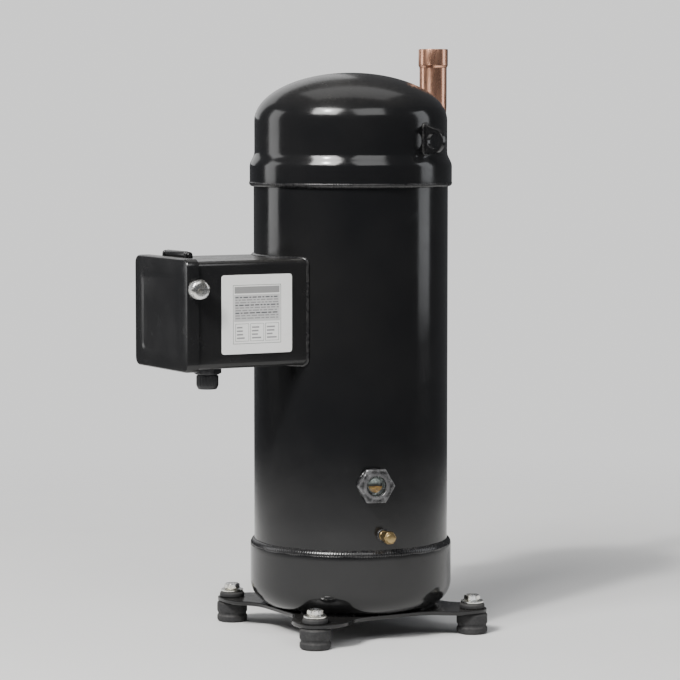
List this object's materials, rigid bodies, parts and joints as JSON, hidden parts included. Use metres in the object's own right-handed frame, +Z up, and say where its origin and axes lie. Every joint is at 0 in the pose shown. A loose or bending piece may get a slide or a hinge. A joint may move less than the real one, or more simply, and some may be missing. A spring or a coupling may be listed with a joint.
{
  "type": "hermetic scroll compressor",
  "caption": "Tall black hermetic refrigerant compressor on grommeted feet, with a hinged terminal box, tube stubs, and the motor, crankshaft and orbiting scroll inside.",
  "frame": {"origin": "bottom centre of the box round the whole compressor, at the height of the grommets' undersides; the crank axis stands 40.6 mm to +X of it and 2.1 mm to -Y", "axes": "+Z up along the crank axis, -X towards the terminal box, -Y towards the sight glass and oil valve, +Y along the suction stub"},
  "size_m": [0.4409, 0.297, 0.7212],
  "materials": {
    "shell_paint": "glossy black enamel",
    "rubber": "matt moulded rubber",
    "zinc_steel": "bright zinc plate",
    "terminal_steel": "plated steel with bright pins",
    "copper": "drawn copper tube, lightly oxidised",
    "brass": "machined brass",
    "counterweight_brass": "cast, oiled",
    "sight_glass": "clear fused glass",
    "label_stock": "white printed film, left blank of lettering",
    "black_plastic": "moulded",
    "lead_insulation": "woven sleeve",
    "cast_iron": "machined faces on a cast body",
    "machined_steel": "turned and ground",
    "oldham_iron": "sintered iron, oiled",
    "laminations": "stacked sheet edges",
    "winding_wire": "enamelled copper wire with varnish",
    "bearing_bronze": "lined bronze",
    "seal_polymer": "filled PTFE"
  },
  "bodies": {
    "compressor": {"mounting_plate": "shell_paint", "bottom_cap": "shell_paint", "centre_shell": "shell_paint", "top_cap": "shell_paint", "lifting_lug_1": "shell_paint", "lifting_lug_2": "shell_paint", "terminal_box": "shell_paint", "sight_glass_body": "shell_paint", "grommet_1": "rubber", "grommet_2": "rubber", "grommet_3": "rubber", "grommet_4": "rubber", "mount_bolt_1": "zinc_steel", "mount_bolt_2": "zinc_steel", "mount_bolt_3": "zinc_steel", "mount_bolt_4": "zinc_steel", "gland_locknut": "zinc_steel", "scroll_bolt_1": "zinc_steel", "scroll_bolt_2": "zinc_steel", "scroll_bolt_3": "zinc_steel", "scroll_bolt_4": "zinc_steel", "power_terminal": "terminal_steel", "suction_fitting": "copper", "discharge_fitting": "copper", "discharge_line": "copper", "oil_valve_body": "brass", "sight_glass_lens": "sight_glass", "wiring_label": "label_stock", "terminal_block": "black_plastic", "motor_protector": "black_plastic", "cable_gland": "black_plastic", "motor_leads": "lead_insulation", "fixed_scroll": "cast_iron", "main_bearing_housing": "cast_iron", "muffler_plate": "machined_steel", "check_valve_cage": "machined_steel", "lower_bearing_bracket": "machined_steel", "stator_core": "laminations", "stator_winding": "winding_wire", "main_bearing_bush": "bearing_bronze", "lower_bearing_bush": "bearing_bronze", "thrust_plate": "bearing_bronze"},
    "crank": {"crankshaft": "machined_steel", "drive_bush": "bearing_bronze", "rotor": "laminations", "upper_counterweight": "counterweight_brass", "lower_counterweight": "counterweight_brass"},
    "orbiting": {"orbiting_scroll": "cast_iron", "drive_bearing": "bearing_bronze"},
    "oldham_ring_body": {"oldham_ring": "oldham_iron"},
    "oldham_key_body": {"oldham_key_housing_1": "oldham_iron", "oldham_key_housing_2": "oldham_iron", "oldham_key_scroll_1": "oldham_iron", "oldham_key_scroll_2": "oldham_iron"},
    "seal": {"floating_seal": "seal_polymer"},
    "check_disc": {"check_valve_disc": "machined_steel"},
    "cover": {"terminal_box_cover": "shell_paint", "cover_gasket": "rubber", "cover_screw": "zinc_steel"},
    "valve_cap": {"oil_valve_cap": "brass"}
  },
  "joints": [
    {"name": "crank_spin", "type": "hinge", "parent": "compressor", "child": "crank", "pos_m": [0.04056, -0.00212, 0.4294], "axis": [0, 0, 1], "continuous": true},
    {"name": "scroll_orbit", "type": "hinge", "parent": "crank", "child": "orbiting", "pos_m": [0.04056, 0.00378, 0.4397], "axis": [0, 0, 1], "continuous": true},
    {"name": "oldham_swing", "type": "hinge", "parent": "crank", "child": "oldham_ring_body", "pos_m": [0.04056, 0.00083, 0.4577], "axis": [0, 0, 1], "continuous": true},
    {"name": "oldham_key_guide", "type": "hinge", "parent": "oldham_ring_body", "child": "oldham_key_body", "pos_m": [0.04056, -0.00212, 0.4577], "axis": [0, 0, 1], "continuous": true},
    {"name": "floating_seal_lift", "type": "slide", "parent": "compressor", "child": "seal", "axis": [0, 0, 1], "range_m": [0, 0.0008]},
    {"name": "check_valve_lift", "type": "slide", "parent": "compressor", "child": "check_disc", "axis": [0, 0, 1], "range_m": [0, 0.01]},
    {"name": "terminal_cover_hinge", "type": "hinge", "parent": "compressor", "child": "cover", "pos_m": [-0.19704, -0.00212, 0.4714], "axis": [0, 1, 0], "range_deg": [0, 100]},
    {"name": "oil_valve_cap_pull", "type": "slide", "parent": "compressor", "child": "valve_cap", "axis": [-0.1736, -0.9848, 0], "range_m": [0, 0.02]}
  ],
  "couplings": [
    {"joint": "scroll_orbit", "follows": "crank_spin", "ratio": -1},
    {"joint": "oldham_swing", "follows": "crank_spin", "ratio": -2},
    {"joint": "oldham_key_guide", "follows": "crank_spin", "ratio": 1}
  ]
}
